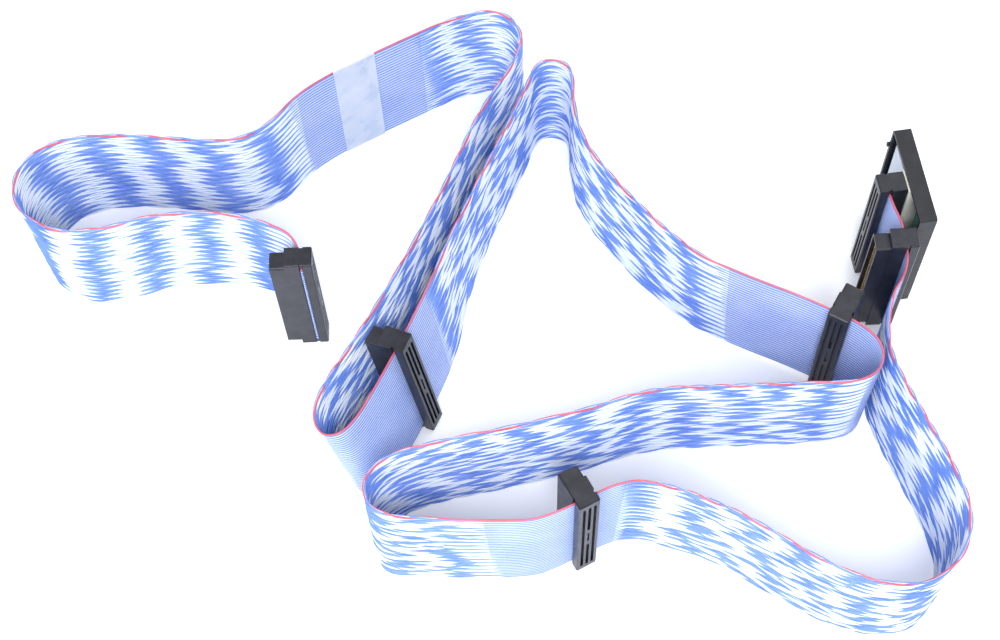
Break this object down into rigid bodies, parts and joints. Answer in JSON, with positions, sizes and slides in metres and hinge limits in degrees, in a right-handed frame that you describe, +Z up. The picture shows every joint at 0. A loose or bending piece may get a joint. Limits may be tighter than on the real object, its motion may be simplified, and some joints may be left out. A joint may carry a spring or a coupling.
{
  "type": "twisted-pair ribbon cable",
  "caption": "Flat cable of blue and white twisted pairs on its edge in loose loops, with plug connectors clamped along it and a terminator at one end.",
  "frame": {"origin": "middle of the laid cable's outline, on the surface it stands on", "axes": "+X along the longest side of the laid cable, +Y across it, +Z up along the width of the ribbon"},
  "size_m": [0.2662, 0.1899, 0.0486],
  "materials": {
    "ribbon": "smooth insulation, blue and white conductors",
    "label": "thin translucent film",
    "gold": "gold plated",
    "black_plastic": "fine moulded",
    "cover_plastic": "fine moulded, satin",
    "board": "green solder mask",
    "ivory_plastic": "moulded",
    "tin": "tinned leads",
    "ceramic": "ceramic with tinned ends",
    "chip": "moulded epoxy"
  },
  "bodies": {
    "root": {"connector_a_base": "black_plastic", "connector_a_cover": "cover_plastic", "connector_a_housing": "black_plastic", "connector_a_pins": "gold", "connector_b_base": "black_plastic", "connector_b_cover": "cover_plastic", "connector_b_housing": "black_plastic", "connector_b_pins": "gold", "connector_c_base": "black_plastic", "connector_c_cover": "cover_plastic", "connector_c_housing": "black_plastic", "connector_c_pins": "gold", "connector_d_base": "black_plastic", "connector_d_cover": "cover_plastic", "connector_d_housing": "black_plastic", "connector_d_pins": "gold", "connector_e_base": "black_plastic", "connector_e_cover": "cover_plastic", "connector_e_housing": "black_plastic", "connector_e_pins": "gold", "connector_f_base": "black_plastic", "connector_f_cover": "cover_plastic", "connector_f_housing": "black_plastic", "connector_f_pins": "gold", "ribbon": "ribbon", "ribbon_label": "label", "terminator_board": "board", "terminator_capacitors": "ceramic", "terminator_case": "black_plastic", "terminator_chip_lower": "chip", "terminator_chip_upper": "chip", "terminator_contacts": "gold", "terminator_label": "label", "terminator_leads": "tin", "terminator_receptacle": "ivory_plastic"}
  },
  "joints": []
}
